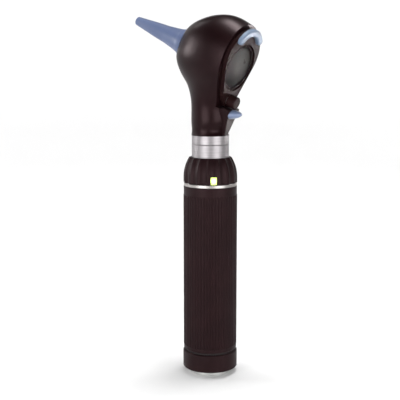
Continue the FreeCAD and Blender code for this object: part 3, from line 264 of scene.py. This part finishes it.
dark_metal = lathed("dark_metal", (0.045, 0.040, 0.040), (0.032, 0.029, 0.029),
                    roughness=0.30, anisotropy=0.2, line=0.0003, line_depth=0.000002)
collar_metal = lathed("collar_metal", (0.292, 0.276, 0.284), (0.244, 0.230, 0.238),
                      roughness=0.47, anisotropy=0.35, line=0.00012, line_depth=0.0000008)
bright_metal = lathed("bright_metal", (0.38, 0.36, 0.345), (0.33, 0.31, 0.30),
                      roughness=0.36, anisotropy=0.2, line=0.0003, line_depth=0.000002)
foot_metal = lathed("foot_metal", (0.62, 0.62, 0.61), (0.50, 0.50, 0.49),
                    roughness=0.32, anisotropy=0.4, line=0.0003, line_depth=0.000006)
tube_metal = lathed("tube_metal", (0.30, 0.30, 0.31), (0.24, 0.24, 0.25),
                    roughness=0.40, anisotropy=0.3, line=0.0004, line_depth=0.000005)
jacket = lathed("cell_jacket", (0.42, 0.30, 0.08), (0.36, 0.25, 0.06),
                roughness=0.38, anisotropy=0.1, line=0.0008, line_depth=0.000004)
wire_metal = plain_metal("spring_steel", (0.55, 0.55, 0.54), (0.42, 0.42, 0.41), roughness=0.32)
brass = plain_metal("contact_brass", (0.75, 0.56, 0.24), (0.58, 0.40, 0.15), roughness=0.30)

lens_glass = clear_glass("lens_glass", (0.46, 0.36, 0.36), roughness=0.32, shine=0.4)
bulb_glass = clear_glass("bulb_glass", (0.98, 0.96, 0.90), roughness=0.03)
indicator = lit("indicator_glow", (0.78, 1.0, 0.22), strength=9.0,
                source=middle(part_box("indicator_lens")))
led = lit("pilot_led_chip", (0.80, 1.0, 0.35), strength=6.0, source=middle(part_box("pilot_led")))

LOOKS = {
    # the battery handle
    "grip_sleeve": grip_black, "battery_tube": tube_metal,
    "battery_lower": jacket, "battery_upper": jacket,
    "cap_seal": seal, "end_cap": grip_black, "base_contact": foot_metal,
    "tail_plate": brass, "tail_spring": wire_metal,
    "accent_ring": bright_metal, "handle_collar": collar_metal,
    "contact_bush": nylon, "contact_pin": brass, "contact_spring": wire_metal,
    # the brightness control
    "dimmer_ring": grip_black, "dimmer_board": board, "dimmer_wiper": brass,
    "indicator_lens": indicator, "pilot_led": led,
    # the head
    "head_housing": shell, "head_ring": collar_metal,
    "rear_bezel": frame_black, "bezel_screws": wire_metal,
    "lamp_socket": tube_metal, "lamp_contact": brass, "lamp_base": brass, "lamp_bulb": bulb_glass,
    "light_guide": fibre, "fibre_ring": fibre, "nose_cone": dark_metal, "view_tube": inner_black,
    # the swinging lens
    "lens_plate": frame_black, "lens": lens_glass, "lens_retainer": frame_black,
    "lens_grip": blue_grip, "pivot_screw": frame_black, "pivot_washer": wire_metal,
    # the speculum and what pushes it off
    "speculum": blue_speculum, "ejector_button": blue_button, "button_spring": wire_metal,
    "ejector_slider": nylon, "ejector_sleeve": inner_black,
}
for name, look in LOOKS.items():
    mesh = nodes[name].data
    mesh.materials.clear()
    mesh.materials.append(look)


# ---------------------------------------------------------------- floor, lights and camera

# The floor's section from where it starts to curve up: distance from the middle, and height.
FLOOR_PROFILE = [(1.0, 0.0), (1.25, 0.03), (1.42, 0.12), (1.53, 0.28), (1.59, 0.50), (1.62, 0.95)]
FLOOR_STEPS = 96
FLOOR_COLOUR = (0.72, 0.72, 0.72)
FLOOR_ROUGHNESS, FLOOR_ROUGHNESS_CHANGE = 0.9, 0.04
FLOOR_PATCH = 0.05
FLOOR_GRAIN, FLOOR_GRAIN_DEPTH = 0.002, 0.00002

# Where the softboxes point: at the head, at the lens, or at the wall behind the instrument.
HEAD_MIDDLE = Vector((0, 0.008, 0.178))
LENS_MIDDLE = middle(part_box("lens"))
BACKDROP_MIDDLE = TO_CAMERA * -1.6 + UP * 0.45

WORLD_STRENGTH = 0.05

SENSOR_WIDTH_MM = 36
FOCAL_LENGTH_MM = 84.5
CAMERA_SHIFT_Y = -0.04
CAMERA_DISTANCE = 0.520
CAMERA_HEIGHT = 0.1827
CAMERA_PITCH = math.radians(8.19)
# How far the camera's aim runs to the left in each metre ahead.
CAMERA_AIM_LEFT = 0.0110


def floor():
    """A round pale floor that curves up into a low wall on every side."""
    verts = [(0, 0, 0)]
    for radius, height in FLOOR_PROFILE:
        for step in range(FLOOR_STEPS):
            turn = 2 * math.pi * step / FLOOR_STEPS
            verts.append((radius * math.cos(turn), radius * math.sin(turn), height))
    faces = [(0, 1 + step, 1 + (step + 1) % FLOOR_STEPS) for step in range(FLOOR_STEPS)]
    for ring in range(len(FLOOR_PROFILE) - 1):
        inner = 1 + ring * FLOOR_STEPS
        outer = inner + FLOOR_STEPS
        for step in range(FLOOR_STEPS):
            after = (step + 1) % FLOOR_STEPS
            faces.append((inner + step, outer + step, outer + after, inner + after))
    mesh = bpy.data.meshes.new("floor")
    mesh.from_pydata(verts, [], faces)
    mesh.shade_smooth()
    made = bpy.data.objects.new("floor", mesh)
    bpy.context.scene.collection.objects.link(made)
    paper = Finish("floor_paper", FLOOR_COLOUR, FLOOR_ROUGHNESS)
    paper.vary_roughness(paper.noise(FLOOR_PATCH), FLOOR_ROUGHNESS_CHANGE)
    paper.bump(paper.noise(FLOOR_GRAIN), FLOOR_GRAIN_DEPTH)
    mesh.materials.append(paper.material)


def softbox(name, place, size, power, aim=HEAD_MIDDLE, spread=180):
    """A soft light, placed so far to the right, towards the camera, and up from the origin."""
    right, near, up = place
    light = bpy.data.lights.new(name, "AREA")
    light.shape = "RECTANGLE"
    light.size, light.size_y = size
    light.energy = power
    light.spread = math.radians(spread)
    made = bpy.data.objects.new(name, light)
    made.location = TO_RIGHT * right + TO_CAMERA * near + UP * up
    made.rotation_euler = (aim - made.location).to_track_quat("-Z", "Y").to_euler()
    bpy.context.scene.collection.objects.link(made)


def camera():
    data = bpy.data.cameras.new("camera")
    data.sensor_width = SENSOR_WIDTH_MM
    data.lens = FOCAL_LENGTH_MM
    data.shift_y = CAMERA_SHIFT_Y
    made = bpy.data.objects.new("camera", data)
    made.location = TO_CAMERA * CAMERA_DISTANCE + UP * CAMERA_HEIGHT
    level = -TO_CAMERA * math.cos(CAMERA_PITCH) - TO_RIGHT * CAMERA_AIM_LEFT
    ahead = level - UP * math.sin(CAMERA_PITCH)
    made.rotation_euler = ahead.to_track_quat("-Z", "Y").to_euler()
    bpy.context.scene.collection.objects.link(made)
    bpy.context.scene.camera = made


def surroundings():
    """A faint even light from everywhere."""
    world = bpy.data.worlds.new("world")
    bpy.context.scene.world = world
    world.use_nodes = True
    background = world.node_tree.nodes["Background"]
    background.inputs["Color"].default_value = (1, 1, 1, 1)
    background.inputs["Strength"].default_value = WORLD_STRENGTH


floor()
softbox("front_left", (-0.47, 0.70, 0.20), (0.62, 0.45), power=6.2)
softbox("front_right", (0.54, 0.65, 0.20), (0.62, 0.45), power=5.6)
softbox("left", (-0.84, -0.18, 0.33), (0.24, 0.20), power=3.4)
softbox("overhead", (0.09, -0.07, 1.15), (0.36, 0.36), power=12)
softbox("lens_glow", (0.37, -0.16, 0.03), (0.06, 0.06), power=0.010, aim=LENS_MIDDLE, spread=8)
softbox("backdrop_left", (-0.8, -0.75, 1.1), (0.5, 0.5), power=8.0, aim=BACKDROP_MIDDLE)
softbox("backdrop_right", (0.8, -0.75, 1.1), (0.5, 0.5), power=8.0, aim=BACKDROP_MIDDLE)
camera()
surroundings()
bpy.context.scene.view_settings.view_transform = "Standard"
